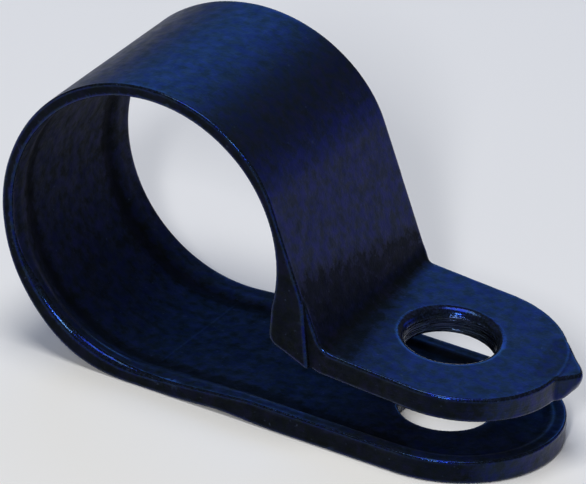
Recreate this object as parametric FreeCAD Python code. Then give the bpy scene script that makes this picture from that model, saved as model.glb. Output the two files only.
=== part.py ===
import FreeCAD, Part
import math
import os

# One-piece moulded nylon p clip. Millimetres, +Z up.
# Origin: on the axis of the screw hole, in the plane of the flat mounting underside of the lower tab.
# +X runs from the loop to the tab tips, Y runs across the strap, so the loop's axis is parallel to Y.

# ---- driving dimensions -------------------------------------------------------------------------
strap_w = 12.76           # strap width, across the clip
loop_r_in = 8.32          # inside of the loop, to the rims along both edges
loop_edge_t = 0.75        # strap thickness at the rims, at the top and bottom of the loop
# outside radius of the loop by angle: a little thinner at the far side, fuller towards the lower strap
loop_out = ((90.0, 9.07), (112.0, 9.08), (132.0, 9.09), (147.0, 9.05), (161.0, 9.00), (176.0, 8.99), (191.0, 8.97),
            (205.0, 9.01), (218.0, 9.05), (228.0, 9.11), (237.0, 9.19), (246.0, 9.24), (254.0, 9.20), (262.0, 9.12),
            (270.0, 9.07))
loop_x = -16.06           # loop axis, from the screw hole

channel_depth = 0.22      # shallow channel along the inside face of the loop
channel_rim_half = 5.27   # half width at the rim
channel_foot_half = 4.25  # half width at the floor
channel_end_deg = -11.0   # the channel stops here, at the end of the loop's round inside

ramp_deg = 5.3            # the strap thickens from the loop to the lower tab along this slope
low_t = 1.38              # lower tab thickness at its rim
low_end_x = 0.40          # centre of the tab's rounded end
low_end_r = strap_w / 2.0
tray_depth = 0.24         # the channel goes on as a shallow tray in the lower tab
tray_rim_half = 5.62
tray_foot_half = 5.14
relief_h = 0.17           # shallow relief across the underside, beside the loop
relief_x = (-7.18, -10.60, -13.80)

arm_deg = 24.7            # outer face of the arm, from the vertical
arm_dist = 8.87           # distance of that face from the loop axis
arm_blend_r = 7.5         # round from the loop's outside into the arm
arm_fillet_r = 1.30       # fillet from the arm into the top of the upper tab
arm_in_deg = -10.5        # the loop's inside ends here and runs straight down
nose_r = 0.75             # rounded nose between the arm's inside and the upper tab
nose_slope = 0.42         # fall of the nose towards the upper tab
nose_pt = (10.67, -4.66)  # a point on the nose's face, from the loop axis

# the upper tab has sprung a little out of true: it droops to its tip and its rear edge stands higher
up_top = 5.65             # height of the upper tab's top at the screw hole
up_slope = 0.0650         # droop towards the tip (3.7 degrees)
up_roll = 0.0500          # rise towards the rear edge (2.9 degrees)
up_t = 1.46               # upper tab thickness
up_half = 5.97            # half width of the upper tab, inset from the strap
up_mid_y = -0.10
up_end_x = 0.69
step_line = ((10.17, -1.17), (10.70, -4.32))  # where the front side steps in, from the loop axis
step_rear = ((11.05, -1.17), (11.25, -4.32))  # and the rear side, which keeps the strap's width down to the fillet

hole_r = 2.55             # screw hole through both tabs
hole_top_round = 0.50     # large round on the upper hole's top edge

# gate stub on the upper tab's tip, in plan: front base, flank, front of its tip, tip, rear of its tip, flank, rear base
stub = ((6.62, -0.15), (6.93, 0.13), (7.36, 0.72), (7.60, 1.15), (7.30, 1.70), (6.58, 2.42), (5.35, 3.55))
stub_cut = ((6.90, 3.68), (7.70, 4.82))  # its underside breaks away upwards along this line, seen from the side
edge_round = 0.13         # small round on the moulded edges

# ---- derived ------------------------------------------------------------------------------------
loop_r_out = loop_r_in + loop_edge_t
loop_z = loop_r_out       # the loop's outside is flush with the underside
half = strap_w / 2.0
V = FreeCAD.Vector


def at(x, z):
    # a point from the loop's axis, in the part's frame
    return (loop_x + x, loop_z + z)


def polar(r, deg):
    return at(r * math.cos(math.radians(deg)), r * math.sin(math.radians(deg)))


def v(p, y=0.0):
    return V(p[0], y, p[1])


def line(a, b, y):
    return Part.LineSegment(v(a, y), v(b, y)).toShape()


def arc(a, m, b, y):
    return Part.Arc(v(a, y), v(m, y), v(b, y)).toShape()


# ---- outer contour, from the lower tab's tip round to the upper tab's tip ------------------------
na = math.radians(arm_deg)
n = (math.cos(na), math.sin(na))          # outward normal of the arm's outer face
d = (math.sin(na), -math.cos(na))         # direction down along it
# round between the loop's outside and the arm's outer face
ang = math.acos((arm_dist - arm_blend_r) / (loop_r_out - arm_blend_r))
blend_deg = arm_deg + math.degrees(ang)
bc = ((loop_r_out - arm_blend_r) * math.cos(math.radians(blend_deg)),
      (loop_r_out - arm_blend_r) * math.sin(math.radians(blend_deg)))
blend_a = polar(loop_r_out, blend_deg)
mid_deg = (blend_deg + arm_deg) / 2.0
blend_m = at(bc[0] + arm_blend_r * math.cos(math.radians(mid_deg)),
             bc[1] + arm_blend_r * math.sin(math.radians(mid_deg)))
blend_b = at(bc[0] + arm_blend_r * n[0], bc[1] + arm_blend_r * n[1])

foot = at(arm_dist * n[0], arm_dist * n[1])


def on_arm(z):
    # the point of the arm's outer face at this height
    k = (z - foot[1]) / d[1]
    return (foot[0] + k * d[0], z)


raw_top = 7.2             # the tab starts as a thicker block between these levels
raw_low = 3.1
arm_end = on_arm(raw_top)

low_tip = low_end_x + low_end_r
up_tip = 9.0

# ---- inner contour --------------------------------------------------------------------------------
in_x = loop_r_in * math.cos(math.radians(arm_in_deg))
in_top = at(in_x, loop_r_in * math.sin(math.radians(arm_in_deg)))
nose_corner = at(in_x, nose_pt[1] + nose_slope * (nose_pt[0] - in_x))
nl = math.hypot(1.0, nose_slope)
nd = (1.0 / nl, -nose_slope / nl)
nturn = math.acos(-1.0 * nd[1])           # between straight down and the nose's fall
ncut = nose_r * math.tan(nturn / 2.0)
nose_a = (nose_corner[0], nose_corner[1] + ncut)
nose_b = (nose_corner[0] + ncut * nd[0], nose_corner[1] + ncut * nd[1])
nc = (nose_a[0] + nose_r, nose_a[1])
nm = (nose_corner[0] - nc[0], nose_corner[1] - nc[1])
nml = math.hypot(nm[0], nm[1])
nose_m = (nc[0] + nm[0] / nml * nose_r, nc[1] + nm[1] / nml * nose_r)
nose_e = (nose_corner[0] + (nose_corner[1] - raw_low) / nose_slope, raw_low)

ramp_start_deg = 270.0 + ramp_deg
ramp_a = polar(loop_r_in, ramp_start_deg)
ramp_b = (ramp_a[0] + (low_t - ramp_a[1]) / math.tan(math.radians(ramp_deg)), low_t)

# ---- side profile, swept across the strap's width ------------------------------------------------
y0 = -half
under = [(low_tip, 0.0), (relief_x[0], 0.0), (relief_x[1], relief_h), (relief_x[2], 0.0), (loop_x, 0.0)]
edges = [line(under[i], under[i + 1], y0) for i in range(len(under) - 1)]
outside = Part.BSplineCurve()
outside.interpolate(Points=[v(polar(r, a), y0) for a, r in reversed(loop_out)], Tangents=[V(-1, 0, 0), V(1, 0, 0)])
edges.append(outside.toShape())
edges.append(arc(polar(loop_r_out, 90.0), polar(loop_r_out, (90.0 + blend_deg) / 2.0), blend_a, y0))
edges.append(arc(blend_a, blend_m, blend_b, y0))
edges.append(line(blend_b, arm_end, y0))
edges.append(line(arm_end, (up_tip, raw_top), y0))
edges.append(line((up_tip, raw_top), (up_tip, raw_low), y0))
edges.append(line((up_tip, raw_low), nose_e, y0))
edges.append(line(nose_e, nose_b, y0))
edges.append(arc(nose_b, nose_m, nose_a, y0))
edges.append(line(nose_a, in_top, y0))
edges.append(arc(in_top, polar(loop_r_in, (arm_in_deg + 90.0) / 2.0), polar(loop_r_in, 90.0), y0))
edges.append(arc(polar(loop_r_in, 90.0), polar(loop_r_in, 180.0), ramp_a, y0))
edges.append(line(ramp_a, ramp_b, y0))
edges.append(line(ramp_b, (low_tip, low_t), y0))
edges.append(line((low_tip, low_t), (low_tip, 0.0), y0))
body = Part.Face(Part.Wire(edges)).extrude(V(0, strap_w, 0))


# ---- plan outlines of the two tabs -----------------------------------------------------------------
def stadium(cx, r, z_lo, z_hi):
    # straight sides with a half-round end, as a tall block
    a, b, m = V(cx, -r, z_lo), V(cx, r, z_lo), V(cx + r, 0, z_lo)
    back_a, back_b = V(-40, -r, z_lo), V(-40, r, z_lo)
    w = Part.Wire([Part.LineSegment(back_a, a).toShape(), Part.Arc(a, m, b).toShape(),
                   Part.LineSegment(b, back_b).toShape(), Part.LineSegment(back_b, back_a).toShape()])
    return Part.Face(w).extrude(V(0, 0, z_hi - z_lo))


def prism(points, width):
    # a side-view polygon across the whole width
    vs = [v(p, -width / 2.0) for p in points]
    w = Part.makePolygon(vs + [vs[0]])
    return Part.Face(w).extrude(V(0, width, 0))


def tilted(h, z_far):
    # everything between the level z_far and a plane parallel to the upper tab's top, h above it
    x_a, x_b, w = -12.0, 20.0, 12.0
    c = [V(x, y, up_top + h - up_slope * x + up_roll * y) for x, y in ((x_a, -w), (x_b, -w), (x_b, w), (x_a, w))]
    e = [V(q.x, q.y, z_far) for q in c]
    faces = [Part.Face(Part.makePolygon(c + [c[0]])), Part.Face(Part.makePolygon(e + [e[0]]))]
    for i in range(4):
        j = (i + 1) % 4
        faces.append(Part.Face(Part.makePolygon([c[i], c[j], e[j], e[i], c[i]])))
    s = Part.makeSolid(Part.makeShell(faces))
    if s.Volume < 0:
        s.reverse()
    return s


gap_z = 2.60                                # a level in the gap between the tabs
nlen = math.sqrt(1.0 + up_slope ** 2 + up_roll ** 2)
# top of the tab: all that is above its plane and in front of the arm's outer face
hi = on_arm(12.0)
lo = on_arm(3.0)
beyond = prism([hi, lo, (22.0, 3.0), (22.0, 12.0)], 22.0)
body = body.cut(beyond.common(tilted(0.0, 14.0)))
# underside of the tab
body = body.cut(tilted(-up_t * nlen, gap_z))
# fillet in the corner between the arm and the tab
corner = [e for e in body.Edges if len(e.Vertexes) == 2 and e.Length > strap_w - 0.1 and all(
    abs((q.X - foot[0]) * n[0] + (q.Z - foot[1]) * n[1]) < 0.01 and
    abs(q.Z - (up_top - up_slope * q.X + up_roll * q.Y)) < 0.01 for q in e.Vertexes)]
body = body.makeFillet(arm_fillet_r, corner)

low_zone = Part.makeBox(20.0, 20.0, gap_z + 1.0, V(-3.0, -10.0, -1.0))
body = body.cut(low_zone.cut(stadium(low_end_x, low_end_r, -2.0, gap_z + 1.0)))

plan = stadium(up_end_x, up_half, gap_z - 3.0, 21.0)
plan.translate(V(0, up_mid_y, 0))
plan.rotate(V(0, up_mid_y, up_top), V(1, 0, 0), math.degrees(math.atan(up_roll)))
for (sa, sb), y_half in ((step_line, -5.0), (step_rear, 5.0)):
    sd = (sb[0] - sa[0], sb[1] - sa[1])
    up_zone = prism([at(sa[0] - 2.0 * sd[0], sa[1] - 2.0 * sd[1]), at(sb[0] + 0.3 * sd[0], sb[1] + 0.3 * sd[1]),
                     (at(*sb)[0] + 0.4, gap_z), (20.0, gap_z), (20.0, 20.0)], 10.0)
    up_zone.translate(V(0, y_half, 0))
    body = body.cut(up_zone.cut(plan))

# ---- gate stub on the upper tab's tip ----------------------------------------------------------------
s0, s1, s2, s3, s4, s5, s6 = [V(x, y, 0) for x, y in stub]
in0, in6 = V(s0.x - 0.8, s0.y + 0.2, 0), V(s6.x - 0.8, s6.y - 0.4, 0)
nib_wire = Part.Wire([Part.LineSegment(in0, s0).toShape(), Part.Arc(s0, s1, s2).toShape(),
                      Part.Arc(s2, s3, s4).toShape(), Part.Arc(s4, s5, s6).toShape(),
                      Part.LineSegment(s6, in6).toShape(), Part.LineSegment(in6, in0).toShape()])
nib_col = Part.Face(nib_wire).extrude(V(0, 0, 12.0))
c0, c1 = stub_cut
nib_col = nib_col.cut(prism([(2 * c0[0] - c1[0], 2 * c0[1] - c1[1]), (2 * c1[0] - c0[0], 2 * c1[1] - c0[1]),
                             (12.0, 2 * c0[1] - c1[1])], 20.0))
nib = nib_col.cut(tilted(0.0, 14.0)).cut(tilted(-up_t * nlen, -1.0))
body = body.fuse(nib).removeSplitter()

# ---- channel along the inside face ----------------------------------------------------------------------
over = 0.6                                   # the cutters stand this far above the face


def section(depth, rim, foot):
    # (half width, height above the face), from the floor up past the rim
    k = (rim - foot) / depth
    return [(foot, -depth), (rim + over * k, over)]


# round the loop: a trapezoid turned about the loop's axis
(f_h, f_z), (r_h, r_z) = section(channel_depth, channel_rim_half, channel_foot_half)
sec = [V(loop_x + loop_r_in - f_z, -f_h, loop_z), V(loop_x + loop_r_in - f_z, f_h, loop_z),
       V(loop_x + loop_r_in - r_z, r_h, loop_z), V(loop_x + loop_r_in - r_z, -r_h, loop_z)]
# from the arm, over the top and down to the ramp
turned = Part.Face(Part.makePolygon(sec + [sec[0]]))
axis_p, axis_d = V(loop_x, 0, loop_z), V(0, -1, 0)   # a turn about -Y carries +X towards +Z
turned.rotate(axis_p, axis_d, channel_end_deg)
channel = turned.revolve(axis_p, axis_d, ramp_start_deg - channel_end_deg)
body = body.cut(channel)


# along the ramp and the tab: straight runs between trapezoids set square to the face
def trap(p, up, depth, rim, foot):
    (fh, fz), (rh, rz) = section(depth, rim, foot)
    pts = [V(p[0] + up[0] * fz, -fh, p[1] + up[1] * fz), V(p[0] + up[0] * fz, fh, p[1] + up[1] * fz),
           V(p[0] + up[0] * rz, rh, p[1] + up[1] * rz), V(p[0] + up[0] * rz, -rh, p[1] + up[1] * rz)]
    return Part.makePolygon(pts + [pts[0]])


ra = math.radians(ramp_deg)
up_a = (-math.sin(ra), math.cos(ra))
up_b = (-math.sin(ra / 2.0) / math.cos(ra / 2.0), 1.0)   # mitre at the top of the ramp
run_1 = Part.makeLoft([trap(ramp_a, up_a, channel_depth, channel_rim_half, channel_foot_half),
                       trap(ramp_b, up_b, tray_depth, tray_rim_half, tray_foot_half)], True, True)
end_c = (low_end_x, low_t)
run_2 = Part.makeLoft([trap(ramp_b, up_b, tray_depth, tray_rim_half, tray_foot_half),
                       trap(end_c, (0.0, 1.0), tray_depth, tray_rim_half, tray_foot_half)], True, True)
(fh, fz), (rh, rz) = section(tray_depth, tray_rim_half, tray_foot_half)
cone_p = [V(low_end_x, 0, low_t + fz), V(low_end_x, -fh, low_t + fz), V(low_end_x, -rh, low_t + rz),
          V(low_end_x, 0, low_t + rz)]
tray_end = Part.Face(Part.makePolygon(cone_p + [cone_p[0]])).revolve(V(low_end_x, 0, 0), V(0, 0, 1), 180.0)
for cutter in (run_1, run_2, tray_end):
    body = body.cut(cutter)

# ---- screw hole through both tabs ---------------------------------------------------------------------
body = body.cut(Part.makeCylinder(hole_r, 12.0, V(0, 0, -2.0)))

body = body.removeSplitter()


# ---- rounded edges --------------------------------------------------------------------------------------
def pick(shape, test, n_pts=5):
    # the edges that pass the test at every point sampled along them
    found = []
    for e in shape.Edges:
        a, b = e.FirstParameter, e.LastParameter
        pts = [e.valueAt(a + (b - a) * i / (n_pts - 1.0)) for i in range(n_pts)]
        if all(test(q) for q in pts):
            found.append(e)
    return found


def on_top(q):
    return abs(q.z - (up_top - up_slope * q.x + up_roll * q.y)) < 0.01


def off_loop(q):
    return math.hypot(q.x - loop_x, q.z - loop_z)


mouth = pick(body, lambda q: on_top(q) and abs(math.hypot(q.x, q.y) - hole_r) < 0.01)
body = body.makeFillet(hole_top_round, mouth)

def mid(e):
    return e.valueAt((e.FirstParameter + e.LastParameter) / 2.0)


def at_edge(q):
    # on the strap's side or on the lower tab's rounded end
    return abs(abs(q.y) - half) < 0.01 or (q.x > low_end_x and abs(math.hypot(q.x - low_end_x, q.y) - half) < 0.01)


# small rounds: along the outside of the loop and the arm, round the underside, round the top of the lower tab's rim,
# round the top of the upper tab, and along the inside of the loop
groups = [
    pick(body, lambda q: abs(abs(q.y) - half) < 0.01 and off_loop(q) > loop_r_in + 0.3 and q.x < loop_x + 10.6),
    pick(body, lambda q: q.z < relief_h + 0.01 and at_edge(q)),
    pick(body, lambda q: abs(q.z - low_t) < 0.01 and at_edge(q)),
    [e for e in body.Edges if on_top(mid(e)) and mid(e).x > -4.0
     and abs(math.hypot(mid(e).x, mid(e).y) - hole_r - hole_top_round) > 0.05],
    [e for e in body.Edges if abs(abs(mid(e).y) - half) < 0.01 and abs(off_loop(mid(e)) - loop_r_in) < 0.01],
]
rounded = []
for group in groups:
    for e in group:
        if not any(e.isSame(f) for f in rounded):
            rounded.append(e)
body = body.makeFillet(edge_round, rounded)

os.makedirs("parts", exist_ok=True)
shape = body.removeSplitter()
if shape.ShapeType == "Compound" and len(shape.Solids) == 1:
    shape = shape.Solids[0]
print("valid", shape.isValid(), "solids", len(shape.Solids), "volume", round(shape.Volume, 2),
      "faces", len(shape.Faces))
shape.exportStep("parts/p_clip.step")
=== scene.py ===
import bpy
import math
import numpy as np
from mathutils import Matrix, Vector


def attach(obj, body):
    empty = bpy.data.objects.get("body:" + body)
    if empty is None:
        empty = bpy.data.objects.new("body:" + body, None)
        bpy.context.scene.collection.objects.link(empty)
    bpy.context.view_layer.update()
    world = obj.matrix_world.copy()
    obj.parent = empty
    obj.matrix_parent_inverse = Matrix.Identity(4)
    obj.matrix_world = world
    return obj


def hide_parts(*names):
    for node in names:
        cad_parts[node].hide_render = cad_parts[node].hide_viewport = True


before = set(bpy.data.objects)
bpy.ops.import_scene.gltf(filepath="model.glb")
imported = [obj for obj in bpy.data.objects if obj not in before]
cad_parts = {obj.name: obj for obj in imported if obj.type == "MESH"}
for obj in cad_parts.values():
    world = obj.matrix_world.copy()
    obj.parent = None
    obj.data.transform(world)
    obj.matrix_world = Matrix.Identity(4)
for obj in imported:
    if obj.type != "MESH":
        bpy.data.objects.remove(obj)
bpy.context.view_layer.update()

# ---- dimensions, in millimetres in the part's frame, as the solid has them ----------------------
LX, LZ = -16.06, 9.07            # loop axis
R_IN = 8.32
R_OUT = 9.07                     # at the top and bottom; its small changes by angle follow
LOOP_OUT = ((30.0, 9.07), (90.0, 9.07), (112.0, 9.08), (132.0, 9.09), (147.0, 9.05), (161.0, 9.00), (176.0, 8.99),
            (191.0, 8.97), (205.0, 9.01), (218.0, 9.05), (228.0, 9.11), (237.0, 9.19), (246.0, 9.24), (254.0, 9.20),
            (262.0, 9.12), (270.0, 9.07), (330.0, 9.07))
HALF = 6.38
ARM = math.radians(24.7)
ARM_D = 8.87
ARM_BLEND = 7.5
ARM_FILLET = 1.30
IN_DEG = -10.5
NOSE_R, NOSE_SLOPE, NOSE_PT = 0.75, 0.42, (10.67, -4.66)
RAMP = math.radians(5.3)
LOW_T, LOW_CX = 1.38, 0.40
UP_Z, UP_SLOPE, UP_ROLL, UP_T = 5.65, 0.0650, 0.0500, 1.46
UP_HALF, UP_Y, UP_CX = 5.97, -0.10, 0.69
STEP = ((10.17, -1.17), (10.70, -4.32))
STEP_REAR = ((11.05, -1.17), (11.25, -4.32))
HOLE = 2.55
F = np.float32


# ---- the moulding as a distance field --------------------------------------------------------------
def meet(a, b, r, c=0.0):
    """Intersection of two solids with its outer edge rounded to r; c is the cosine between their normals."""
    A, B = a + r, b + r
    k = 1.0 - c * c
    inside = ((B - c * A) > 0) & ((A - c * B) > 0)
    q = np.sqrt(np.maximum(A * A + B * B - 2 * c * A * B, 0) / k) - r
    return np.where(inside, q, np.maximum(a, b))


def join(a, b, r):
    """Union of two solids with its inner corner filled to r."""
    return -meet(-a, -b, r)


def smooth(x):
    x = np.clip(x, 0, 1)
    return x * x * (3 - 2 * x)


def ripple(x, y, z, seed, freq, n=5):
    """A slow, even unevenness between about -1 and 1: a sum of plane waves with fixed directions."""
    rng = np.random.RandomState(seed)
    s = np.zeros(np.broadcast(x, y, z).shape, F)
    for _ in range(n):
        k = rng.normal(size=3)
        k *= freq * rng.uniform(0.6, 1.5) / np.linalg.norm(k)
        s += np.sin(F(k[0]) * x + F(k[1]) * y + F(k[2]) * z + F(rng.uniform(0, 6.28)))
    return s / F(n) * F(1.4)


na = (math.cos(ARM), math.sin(ARM))
tl = math.sqrt(1 + UP_SLOPE ** 2 + UP_ROLL ** 2)
blend_half = math.acos((ARM_D - ARM_BLEND) / (R_OUT - ARM_BLEND))
blend_deg = math.degrees(ARM + blend_half)
bc = ((R_OUT - ARM_BLEND) * math.cos(math.radians(blend_deg)), (R_OUT - ARM_BLEND) * math.sin(math.radians(blend_deg)))
wall_x = R_IN * math.cos(math.radians(IN_DEG))
wall_z = R_IN * math.sin(math.radians(IN_DEG))
nose_n = 1.0 / math.hypot(1.0, NOSE_SLOPE)
ra = (R_IN * math.cos(math.radians(270) + RAMP), R_IN * math.sin(math.radians(270) + RAMP))
rb_x = LX + ra[0] + (LOW_T - (LZ + ra[1])) / math.tan(RAMP)

STUB = ((5.4, -0.6), (6.62, -0.15), (6.93, 0.13), (7.36, 0.72), (7.60, 1.15), (7.30, 1.70), (6.58, 2.42), (5.35, 3.55),
        (4.6, 3.0))


def curve_through(pts, n=6):
    """Catmull-Rom points through a closed outline."""
    p = np.array(pts, float)
    out = []
    m = len(p)
    for i in range(m):
        a, b, c, d = p[i - 1], p[i], p[(i + 1) % m], p[(i + 2) % m]
        for t in np.linspace(0, 1, n, endpoint=False):
            out.append(0.5 * ((2 * b) + (c - a) * t + (2 * a - 5 * b + 4 * c - d) * t ** 2
                              + (3 * b - a - 3 * c + d) * t ** 3))
    return np.array(out)


stub_pts = curve_through(STUB)


def outline(px, py, poly):
    """Signed distance to a closed outline, negative inside."""
    d2 = np.full(px.shape, 1e9, F)
    odd = np.zeros(px.shape, bool)
    q = np.roll(poly, -1, 0)
    for (ax, ay), (bx, by) in zip(poly, q):
        ex, ey = bx - ax, by - ay
        wx, wy = px - F(ax), py - F(ay)
        t = np.clip((wx * F(ex) + wy * F(ey)) / F(ex * ex + ey * ey + 1e-12), 0, 1)
        d2 = np.minimum(d2, (wx - t * F(ex)) ** 2 + (wy - t * F(ey)) ** 2)
        if abs(ey) > 1e-12:
            hit = ((ay > py) != (by > py)) & (px < F(ex / ey) * (py - F(ay)) + F(ax))
            odd ^= hit
    return np.where(odd, -1, 1) * np.sqrt(d2)


def body(x, y, z):
    """Distance from the moulding's surface in millimetres, negative inside."""
    X, Z = x - F(LX), z - F(LZ)
    r = np.sqrt(X * X + Z * Z)
    th = np.degrees(np.arctan2(Z, X)) % 360
    deg, rad = zip(*LOOP_OUT)
    # outside of the loop, the arm and the underside
    r_out = np.interp(th, deg, rad).astype(F)
    ring = r - r_out
    arm = X * F(na[0]) + Z * F(na[1]) - F(ARM_D)
    blend = np.sqrt((X - F(bc[0])) ** 2 + (Z - F(bc[1])) ** 2) - F(ARM_BLEND)
    in_blend = (th < blend_deg) & ((X - F(bc[0])) * F(-na[1]) + (Z - F(bc[1])) * F(na[0]) > 0)
    relief = F(0.17) * np.interp(x, (-13.80, -12.6, -10.9, -10.3, -8.4, -7.18), (0, 0.28, 0.96, 0.96, 0.28, 0)).astype(F)
    under = relief - z
    out = np.where((X > 0) & (Z < 0), under, ring)
    out = np.where((X > 0) & (Z >= 0) & (th < blend_deg), np.where(in_blend, blend, F(-9)), out)
    # the arm's outer face and the top of the upper tab, with the fillet between them
    top = (z - F(UP_Z) + F(UP_SLOPE) * x - F(UP_ROLL) * y) / F(tl)
    cosine = (na[0] * UP_SLOPE + na[1]) / tl
    away = -meet(-top, -arm, F(ARM_FILLET), cosine)
    away = np.where((X > 2) & ((Z < 0) | ~in_blend & (th < blend_deg + 1)), away, F(-9))
    # inside of the loop, the ramp and the lower tab's top
    low = top + F(UP_T)                                     # negative below the underside
    nose_below = (Z - F(NOSE_PT[1]) + F(NOSE_SLOPE) * (X - F(NOSE_PT[0]))) * F(nose_n)
    upper = meet(F(wall_x) - X, -nose_below, F(NOSE_R), 0.42 * nose_n)
    upper = np.where(X > 5, np.maximum(upper, -low), upper)
    ramp = (Z - F(ra[1])) * F(math.cos(RAMP)) - (X - F(ra[0])) * F(math.sin(RAMP))
    floor_d = meet(ramp, z - F(LOW_T), F(6.0), math.cos(RAMP))
    gap = np.minimum(np.minimum(floor_d, X - F(0.70)), np.minimum(F(wall_z) - Z + F(0.001), upper))
    hollow = np.maximum(F(R_IN) - r, gap)                   # positive in the open space
    # channel along the inside face, with a coved foot
    q = np.where(x < LOW_CX, np.abs(y), np.hypot(np.maximum(x - F(LOW_CX), 0), y))
    t = np.clip((x - F(LX + ra[0])) / F(rb_x - LX - ra[0]), 0, 1)
    lower = (z < 2.6) & (X > ra[0])
    rim = np.where(lower, 5.40 + t * 0.30, 5.40)
    foot = np.where(lower, 4.10 + t * 0.94, 4.10)
    depth = np.where(lower, 0.22 + t * 0.02, 0.22)
    chan = depth * smooth((rim - q) / (rim - foot))
    ends = np.where((X > 0) & (th < 100), smooth((th - 2.0) / 9.0), 1.0)
    ends = np.where((X > 2) & (Z < 0) & (z > 2.6), 0.0, ends)
    # the front rim stands a little prouder low down on the loop's far side, as a rounded bead
    bead = smooth((th - 196.0) / 26.0) * smooth((292.0 - th) / 34.0) * (y < 0) * (X < 3.0)
    proud = 0.26 * bead * smooth((q - 4.9) / 0.75)
    hollow = hollow + (chan * ends - proud).astype(F)
    solid = np.maximum(np.maximum(out, hollow), away)
    # sides and rounded ends
    side_low = np.where(x > LOW_CX, np.hypot(x - F(LOW_CX), y), np.abs(y)) - F(HALF)
    cr, sr = math.cos(math.atan(UP_ROLL)), math.sin(math.atan(UP_ROLL))
    yy = (y - F(UP_Y)) * F(cr) + (z - F(UP_Z)) * F(sr)
    tab = np.where(x > UP_CX, np.hypot(x - F(UP_CX), yy), np.abs(yy)) - F(UP_HALF)
    steps = []
    for (sx, sz), (tx, tz) in (STEP, STEP_REAR):
        sl = math.hypot(tx - sx, tz - sz)
        steps.append((X - F(sx)) * F(-(tz - sz) / sl) + (Z - F(sz)) * F((tx - sx) / sl))
    step = np.where(y < 0, steps[0], steps[1])
    flank = meet(np.abs(y) - F(HALF), step, np.where(y < 0, F(0.16), F(0.45)))
    side_up = np.maximum(np.where(X > 6.5, join(tab, flank, np.where(y < 0, F(0.08), F(0.50))), F(-9)), np.abs(y) - F(HALF))
    side = np.where(z < 2.6, side_low, side_up)
    edge = np.where((z > 2.6) & (X > 9.0), F(0.17), F(0.14)) + (F(0.26) * bead * (r < 8.75)).astype(F)
    d = meet(solid, side, edge)
    # gate stub
    near = (x > 3.9) & (z > 2.6) & (y > -1.6) & (y < 4.8)
    if near.any():
        xs, ys, zs = [np.broadcast_to(v, d.shape)[near] for v in (x, y, z)]
        plan = outline(xs, ys, stub_pts)
        (ax, az), (bx, bz) = (6.90, 3.68), (7.70, 4.82)
        L = math.hypot(bx - ax, bz - az)
        slant = ((xs - F(ax)) * F((bz - az) / L) - (zs - F(az)) * F((bx - ax) / L))
        tops = np.broadcast_to(top, d.shape)[near]
        s = meet(meet(plan, slant, F(0.18)), np.maximum(tops, -tops - F(UP_T)), F(0.20))
        s = s + F(0.018) * ripple(xs, ys, zs, 5, 5.0) * smooth((xs - 6.7) / 0.5)
        out_by = np.broadcast_to(tab, d.shape)[near]
        d[near] = join(d[near], s, F(0.002) + F(0.138) * smooth((out_by + 0.30) / 0.30).astype(F))
    # screw hole, with a large round at the mouth of the upper one
    mouth = np.where((z > 4.95), F(0.50), F(0.14))
    hole = F(HOLE) - np.hypot(x, y)
    d = np.where(np.hypot(x, y) < HOLE + 1.2, meet(d, hole, mouth), d)
    # slow unevenness of a thin moulding
    d = d + F(0.012) + F(0.008) * ripple(x, y, z, 11, 0.55) + F(0.004) * ripple(x, y, z, 12, 1.7)
    return d.astype(F)


def nets(h):
    """Surface of the field on a grid of spacing h: a closed quad mesh with its points on the surface."""
    lo = np.array((-25.6, -6.75, -0.45))
    hi = np.array((8.2, 6.75, 18.6))
    n = np.ceil((hi - lo) / h).astype(int) + 1
    ax = [(lo[i] + h * np.arange(n[i])).astype(F) for i in range(3)]
    D = np.empty(n, F)
    for i in range(0, n[0], 24):
        D[i:i + 24] = body(ax[0][i:i + 24, None, None] + np.zeros((1, n[1], n[2]), F),
                           ax[1][None, :, None] + np.zeros((1, 1, n[2]), F), ax[2][None, None, :] + np.zeros((1, n[1], 1), F))
    S = D < 0
    total = np.zeros((0, 3))
    ids, pts = [], []
    m = n - 1
    quads = []
    for a in range(3):
        b, c = (a + 1) % 3, (a + 2) % 3
        s0 = [slice(None)] * 3
        s1 = [slice(None)] * 3
        s0[a], s1[a] = slice(0, -1), slice(1, None)
        s0, s1 = tuple(s0), tuple(s1)
        cross = S[s0] != S[s1]
        idx = np.argwhere(cross)
        v0, v1 = D[s0][cross], D[s1][cross]
        t = v0 / (v0 - v1)
        p = idx.astype(float)
        p[:, a] += t
        inward = S[s0][cross]
        cells = []
        for db, dc in ((0, 0), (-1, 0), (-1, -1), (0, -1)):
            k = idx.copy()
            k[:, b] += db
            k[:, c] += dc
            cells.append(np.ravel_multi_index(k.T, m, mode="clip"))
        for k in cells:
            ids.append(k)
            pts.append(p)
        q = np.stack(cells, 1)
        q[~inward] = q[~inward][:, ::-1]
        quads.append(q)
    ids = np.concatenate(ids)
    pts = np.concatenate(pts)
    quads = np.concatenate(quads)
    u, inv = np.unique(ids, return_inverse=True)
    cnt = np.bincount(inv)
    V = np.stack([np.bincount(inv, pts[:, i]) / cnt for i in range(3)], 1) * h + lo
    Q = np.searchsorted(u, quads)
    return V, Q


def slope(P, e=0.02):
    P = P.astype(F)
    g = np.empty_like(P)
    for i in range(3):
        d = np.zeros(3, F)
        d[i] = e
        A, B = P + d, P - d
        g[:, i] = (body(*[np.ascontiguousarray(A[:, k]) for k in range(3)])
                   - body(*[np.ascontiguousarray(B[:, k]) for k in range(3)])) / (2 * e)
    return g


def settle(P, times=2, most=0.12):
    """Moves points onto the surface."""
    P = P.astype(float)
    for _ in range(times):
        g = slope(P).astype(float)
        d = body(*[np.ascontiguousarray(P[:, k]).astype(F) for k in range(3)]).astype(float)
        L = np.maximum((g ** 2).sum(1), 0.25)
        step = -(d / L)[:, None] * g
        size = np.linalg.norm(step, axis=1, keepdims=True)
        P = P + step * np.minimum(1, most / np.maximum(size, 1e-9))
    return P


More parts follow.
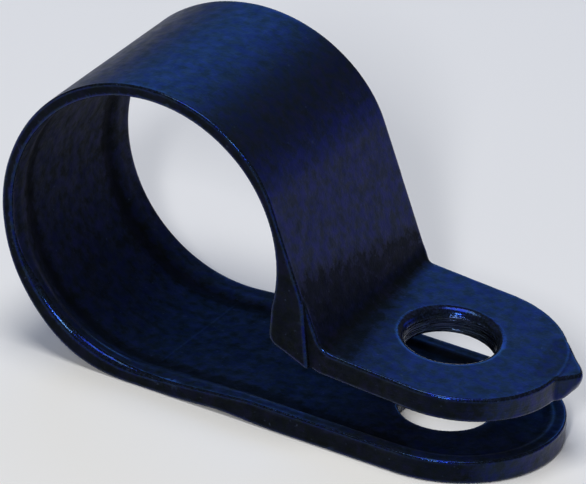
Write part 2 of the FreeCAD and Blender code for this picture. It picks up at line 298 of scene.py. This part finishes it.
spacing = 0.1
V, Q = nets(spacing)
V = settle(V)
mesh = bpy.data.meshes.new("p_clip_moulding")
mesh.vertices.add(len(V))
mesh.vertices.foreach_set("co", (V * 0.001).astype(F).ravel())
mesh.loops.add(4 * len(Q))
mesh.loops.foreach_set("vertex_index", Q.astype(np.int32).ravel())
mesh.polygons.add(len(Q))
mesh.polygons.foreach_set("loop_start", (4 * np.arange(len(Q))).astype(np.int32))
mesh.polygons.foreach_set("loop_total", np.full(len(Q), 4, np.int32))
mesh.update(calc_edges=True)
mesh.validate()
clip = bpy.data.objects.new("p_clip_moulding", mesh)
bpy.context.scene.collection.objects.link(clip)

tris = 2 * len(Q)
if tris > 190000:
    mod = clip.modifiers.new("thin_out", "DECIMATE")
    mod.ratio = 188000 / tris
    dg = bpy.context.evaluated_depsgraph_get()
    thin = bpy.data.meshes.new_from_object(clip.evaluated_get(dg))
    clip.modifiers.clear()
    clip.data = thin
    mesh = thin
    mesh.name = "p_clip_surface"
    co = np.empty(3 * len(mesh.vertices), F)
    mesh.vertices.foreach_get("co", co)
    P = settle(co.reshape(-1, 3).astype(float) * 1000.0, 1, 0.03)
    mesh.vertices.foreach_set("co", (P * 0.001).astype(F).ravel())
    mesh.update()
co = np.empty(3 * len(mesh.vertices), F)
mesh.vertices.foreach_get("co", co)
N = slope(co.reshape(-1, 3) * 1000.0)
N /= np.maximum(np.linalg.norm(N, axis=1, keepdims=True), 1e-6)
mesh.polygons.foreach_set("use_smooth", np.ones(len(mesh.polygons), bool))
mesh.normals_split_custom_set_from_vertices([tuple(v) for v in N.tolist()])
print("surface", len(mesh.vertices), "points", len(mesh.polygons), "faces")

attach(clip, "root")
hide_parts("p_clip")


# ---- black nylon -------------------------------------------------------------------------------------
P = co.reshape(-1, 3) * 1000.0
h = F(0.12)
lap = -6 * body(*[np.ascontiguousarray(P[:, k]) for k in range(3)])
for k in range(3):
    for sgn in (-1, 1):
        q = P.copy()
        q[:, k] += sgn * h
        lap += body(*[np.ascontiguousarray(q[:, m]) for m in range(3)])
lap /= h * h
edge_v = np.clip(lap / 5.0, 0, 1)                        # rounded outer edges: polished, and lightened in colour as rubbed wear and as a painted highlight
mouth_v = smooth((lap - 0.6) / 0.6) * (np.hypot(P[:, 0], P[:, 1]) < HOLE + 0.55) * (P[:, 2] > 4.6)
edge_v = np.maximum(edge_v, mouth_v)
bead_v = smooth((lap - 1.2) / 0.8) * (np.hypot(P[:, 0] - LX, P[:, 2] - LZ) < 8.8) * (P[:, 1] < 0) * (P[:, 0] < -13)
edge_v = np.maximum(edge_v, bead_v)
seat_v = np.clip(-lap / 3.0, 0, 1)                       # inner corners, which stay dull
upright = smooth((0.30 - np.abs(N[:, 2])) / 0.15)
wall_v = upright * (np.hypot(P[:, 0], P[:, 1]) < HOLE + 0.3)          # turned wall of the screw hole
wall_v = np.maximum(wall_v, 0.12 * upright * (P[:, 0] > -1.0))       # and the milled ends of the tabs
hub = np.stack((F(LX) - P[:, 0], F(LZ) - P[:, 2]), 1)
reach = np.hypot(hub[:, 0], hub[:, 1])
facing = (hub[:, 0] * N[:, 0] + hub[:, 1] * N[:, 2]) / np.maximum(reach, 0.1)
inner_v = np.maximum(smooth((facing - 0.2) / 0.4) * (reach < 8.85), smooth((N[:, 2] - 0.5) / 0.3) * (P[:, 2] < 1.7))
flank_v = np.maximum(smooth((np.abs(N[:, 1]) - 0.6) / 0.3), 0.35 * inner_v) * (1 - np.clip(wall_v, 0, 1))
# painted shade: darker, less glossy bands where shade falls, along the foot of the rims and in the corner between the
# arm and the tab
foot_y = np.interp(P[:, 0], (-16.0, -3.0), (4.20, 5.15))
foot_shade_v = np.exp(-((np.abs(P[:, 1]) - foot_y) / 0.42) ** 2) * smooth((inner_v - 0.3) / 0.4) * (P[:, 0] < 0.4)
corner = np.array((LX + 11.05, LZ - 2.79))
climb = (P[:, 0] - corner[0]) * -math.sin(ARM) + (P[:, 2] - corner[1]) * math.cos(ARM)
reach_up = np.interp(P[:, 1], (-6.4, 6.4), (3.7, 1.7))
on_arm = smooth((N[:, 0] - 0.25) / 0.3) * (P[:, 2] > 4.5) * (P[:, 0] < -3.0)
shade_v = on_arm * smooth((reach_up + 0.9 - climb) / 1.8)
near_tab = smooth((N[:, 2] - 0.6) / 0.3) * (P[:, 2] > 4.5) * (P[:, 0] < -1.0) * (P[:, 0] > -6.5)
shade_v = np.maximum(shade_v, near_tab * smooth((np.interp(P[:, 1], (-6.4, 6.4), (-1.9, -4.0)) - P[:, 0]) / 1.6))
painted_shade_v = np.maximum(foot_shade_v, shade_v)
for name, val in (("edge", edge_v), ("seat", seat_v), ("wall", wall_v), ("inner", inner_v), ("flank", flank_v),
                  ("painted_shade", painted_shade_v)):
    at = mesh.attributes.new(name, "FLOAT", "POINT")
    at.data.foreach_set("value", val.astype(F))

mat = bpy.data.materials.new("black_nylon")
mat.use_nodes = True
nt = mat.node_tree
nt.nodes.clear()


def node(kind, **kw):
    n = nt.nodes.new(kind)
    for k, val in kw.items():
        if hasattr(n, k):
            setattr(n, k, val)
        else:
            n.inputs[k.replace("_", " ")].default_value = val
    return n


def link(a, b):
    nt.links.new(a, b)


def math_node(op, a, b, clamp=False):
    n = node("ShaderNodeMath", operation=op, use_clamp=clamp)
    for k, val in enumerate((a, b)):
        if isinstance(val, (int, float)):
            n.inputs[k].default_value = val
        else:
            link(val, n.inputs[k])
    return n.outputs[0]


def noise(scale, detail=2.0, rough=0.5, vec=None):
    n = node("ShaderNodeTexNoise", Scale=scale, Detail=detail, Roughness=rough)
    link(vec if vec else tc.outputs["Object"], n.inputs["Vector"])
    return n.outputs["Fac"]


def ramp(src, stops):
    n = node("ShaderNodeValToRGB")
    e = n.color_ramp.elements
    while len(e) < len(stops):
        e.new(0.5)
    for k, (pos, col) in enumerate(stops):
        e[k].position = pos
        e[k].color = (*col, 1)
    link(src, n.inputs[0])
    return n.outputs[0]


def spread(src, a, b, c, d):
    n = node("ShaderNodeMapRange")
    for k, val in enumerate((a, b, c, d)):
        n.inputs[k + 1].default_value = val
    link(src, n.inputs[0])
    return n.outputs[0]


def attribute(name):
    return node("ShaderNodeAttribute", attribute_name=name).outputs["Fac"]


def blend_colour(fac, a, b, kind="MIX"):
    n = node("ShaderNodeMix", data_type="RGBA", blend_type=kind)
    for k, val in ((0, fac), (6, a), (7, b)):
        if isinstance(val, tuple):
            n.inputs[k].default_value = (*val, 1)
        elif isinstance(val, (int, float)):
            n.inputs[k].default_value = val
        else:
            link(val, n.inputs[k])
    return n.outputs[2]


out = node("ShaderNodeOutputMaterial")
bs = node("ShaderNodeBsdfPrincipled")
link(bs.outputs["BSDF"], out.inputs["Surface"])
tc = node("ShaderNodeTexCoord")
blotch = noise(1500.0, 3.0, 0.62)
patch = noise(420.0, 2.0, 0.5)
fine = noise(7000.0, 3.0, 0.6)
speck = noise(4300.0, 1.0, 0.4)
edge = attribute("edge")
seat = attribute("seat")
wall = attribute("wall")
inner = attribute("inner")
flank = attribute("flank")
painted_shade = attribute("painted_shade")
mottle = noise(1700.0, 3.0, 0.62)
# colour: blue-black with slow patches, and pale dust specks here and there
tone = ramp(blotch, ((0.36, (0.0030, 0.0036, 0.0028)), (0.50, (0.0044, 0.0056, 0.0064)), (0.64, (0.0062, 0.0066, 0.0150))))
tone = blend_colour(spread(patch, 0.35, 0.65, 0.0, 0.5), tone, (0.0036, 0.0052, 0.0060))
dust = spread(speck, 0.735, 0.80, 0.0, 0.5)
tone = blend_colour(dust, tone, (0.030, 0.042, 0.075))
# painted highlight, partly rubbed wear: the edges, the hole's mouth and the rim bead are lightened to pale blue in
# broken flecks
tone = blend_colour(math_node("MULTIPLY", edge, spread(fine, 0.45, 0.70, 0.0, 0.6)), tone, (0.012, 0.020, 0.045))
# painted shade: the base colour is darkened along the rims' feet and in the corner between the arm and the tab
tone = blend_colour(math_node("MULTIPLY", painted_shade, 0.30), tone, (0.0012, 0.0015, 0.0016))
link(tone, bs.inputs["Base Color"])
# gloss: semi-matt, uneven, a little polished along the edges
r1 = spread(blotch, 0.3, 0.7, 0.52, 0.38)
r2 = math_node("ADD", r1, math_node("MULTIPLY", seat, 0.12))
r2 = math_node("ADD", r2, math_node("MULTIPLY", math_node("SUBTRACT", inner, edge, True), 0.25))
r3 = math_node("SUBTRACT", r2, math_node("MULTIPLY", math_node("MAXIMUM", edge, wall), 0.30))
r3 = math_node("ADD", r3, math_node("MULTIPLY", math_node("SUBTRACT", flank, edge, True), 0.10))
link(math_node("MAXIMUM", r3, 0.14), bs.inputs["Roughness"])
bs.inputs["IOR"].default_value = 1.50
# the moulded faces shine more than the parted sides and the inside; the sheen is mottled blue and grey
level = math_node("SUBTRACT", spread(mottle, 0.36, 0.62, 0.54, 0.92), math_node("MULTIPLY", flank, 0.85))
# painted shade: the same bands also reflect less
level = math_node("SUBTRACT", level, math_node("MULTIPLY", painted_shade, 0.75))
level = math_node("MAXIMUM", level, 0.10)
link(math_node("MAXIMUM", level, math_node("MAXIMUM", math_node("MULTIPLY", edge, 0.9), wall)), bs.inputs["Specular IOR Level"])
tint = ramp(mottle, ((0.38, (0.09, 0.22, 0.50)), (0.50, (0.05, 0.18, 0.85)), (0.60, (0.02, 0.08, 1.0))))
tint = blend_colour(math_node("MULTIPLY", wall, 0.5), tint, (0.40, 0.60, 1.0))
link(tint, bs.inputs["Specular Tint"])
# relief: fine moulded grain over slow ripples, and level ridges on the turned and milled walls
stretch = node("ShaderNodeMapping")
stretch.inputs["Scale"].default_value = (300.0, 300.0, 11000.0)
link(tc.outputs["Object"], stretch.inputs["Vector"])
ridge = noise(1.0, 1.0, 0.5, stretch.outputs["Vector"])
b1 = node("ShaderNodeBump", Strength=1.0, Distance=0.000022)
link(math_node("ADD", math_node("MULTIPLY", fine, 0.5), math_node("MULTIPLY", blotch, 0.9)), b1.inputs["Height"])
b2 = node("ShaderNodeBump", Strength=1.0, Distance=0.000090)
link(math_node("MULTIPLY", ridge, wall), b2.inputs["Height"])
link(b1.outputs["Normal"], b2.inputs["Normal"])
link(b2.outputs["Normal"], bs.inputs["Normal"])
mesh.materials.clear()
mesh.materials.append(mat)

# ---- floor, light, camera --------------------------------------------------------------------------------
floor_me = bpy.data.meshes.new("floor")
floor_me.from_pydata([(-1.5, -1.5, 0), (1.5, -1.5, 0), (1.5, 1.5, 0), (-1.5, 1.5, 0)], [], [(0, 1, 2, 3)])
floor = bpy.data.objects.new("floor", floor_me)
bpy.context.scene.collection.objects.link(floor)
fm = bpy.data.materials.new("pale_floor")
fm.use_nodes = True
fb = fm.node_tree.nodes["Principled BSDF"]
fb.inputs["Base Color"].default_value = (0.86, 0.86, 0.86, 1)
fb.inputs["Roughness"].default_value = 0.9
fb.inputs["Specular IOR Level"].default_value = 0.0
floor_me.materials.append(fm)

world = bpy.data.worlds.new("studio")
world.use_nodes = True
wn = world.node_tree
bg = wn.nodes["Background"]
bg.inputs["Color"].default_value = (1, 1, 1, 1)
bg.inputs["Strength"].default_value = 0.06
bg2 = wn.nodes.new("ShaderNodeBackground")              # the pale backdrop that is seen behind the floor
bg2.inputs["Color"].default_value = (1, 1, 1, 1)
bg2.inputs["Strength"].default_value = 0.75
pick = wn.nodes.new("ShaderNodeMixShader")
path = wn.nodes.new("ShaderNodeLightPath")
wn.links.new(path.outputs["Is Camera Ray"], pick.inputs[0])
wn.links.new(bg.outputs[0], pick.inputs[1])
wn.links.new(bg2.outputs[0], pick.inputs[2])
wn.links.new(pick.outputs[0], wn.nodes["World Output"].inputs["Surface"])
bpy.context.scene.world = world

# camera: worked out from the photo's outlines, in units of 1.27 mm about the loop's axis
K = 1.27
dist, az, el, roll = math.exp(6.135), math.radians(25.757), math.radians(29.379), math.radians(8.439)
cx, cy, s_px = -3.979, 2.027, 23.094
back = np.array((math.sin(az) * math.cos(el), -math.cos(az) * math.cos(el), math.sin(el)))
right = np.array((math.cos(az), math.sin(az), 0.0))
up = np.cross(back, right)
cr, sr = math.cos(roll), math.sin(roll)
R = np.array(((cr, sr, 0), (-sr, cr, 0), (0, 0, 1))) @ np.array((right, up, back))
centre = R.T @ np.array((-cx, -cy, dist))
c, s = 0.9979, 0.06485                     # the fitted frame is tipped by the lower tab's slope
turn = np.array(((c, 0, s), (0, 1, 0), (-s, 0, c)))
place = turn @ centre
place = np.array(((place[0] - 12.65) * K, place[1] * K, (place[2] + 7.1536) * K)) * 0.001
rot = turn @ R.T                           # columns: the camera's right, up and back
cam = bpy.data.cameras.new("camera")
camo = bpy.data.objects.new("camera", cam)
bpy.context.scene.collection.objects.link(camo)
M = Matrix.Identity(4)
for i in range(3):
    for j in range(3):
        M[i][j] = rot[i][j]
    M[i][3] = place[i]
camo.matrix_world = M
cam.sensor_fit = "HORIZONTAL"
cam.sensor_width = 36.0
cam.lens = s_px * dist * 36.0 / 586.0
cam.clip_start, cam.clip_end = 0.05, 10.0
bpy.context.scene.camera = camo
bpy.context.scene.view_settings.view_transform = "Standard"


def lamp(name, az, el, far, size, glow, colour=(1, 1, 1)):
    """A soft box that faces the clip, from this azimuth and elevation; glow is how bright its face is."""
    a, e = math.radians(az), math.radians(el)
    to = Vector((-0.008, 0.0, 0.008))
    at = to + far * Vector((math.cos(e) * math.cos(a), math.cos(e) * math.sin(a), math.sin(e)))
    L = bpy.data.lights.new(name, "AREA")
    L.shape = "RECTANGLE"
    L.size, L.size_y = size
    L.energy = glow * math.pi * size[0] * size[1]
    L.color = colour
    o = bpy.data.objects.new(name, L)
    bpy.context.scene.collection.objects.link(o)
    o.location = at
    o.rotation_mode = "QUATERNION"
    o.rotation_quaternion = (to - at).to_track_quat("-Z", "Y")
    return o


lamp("rear_left", 119, 30, 0.50, (0.34, 0.24), 1.8, (0.07, 0.34, 1.0))
lamp("front", 288, 31, 0.60, (0.05, 0.12), 80.0)
lamp("rear_right", 50, 10, 0.50, (0.30, 0.14), 1.1, (0.005, 0.12, 1.0))
lamp("top", 250, 84, 0.60, (0.30, 0.30), 7.8, (1.0, 0.99, 0.96))
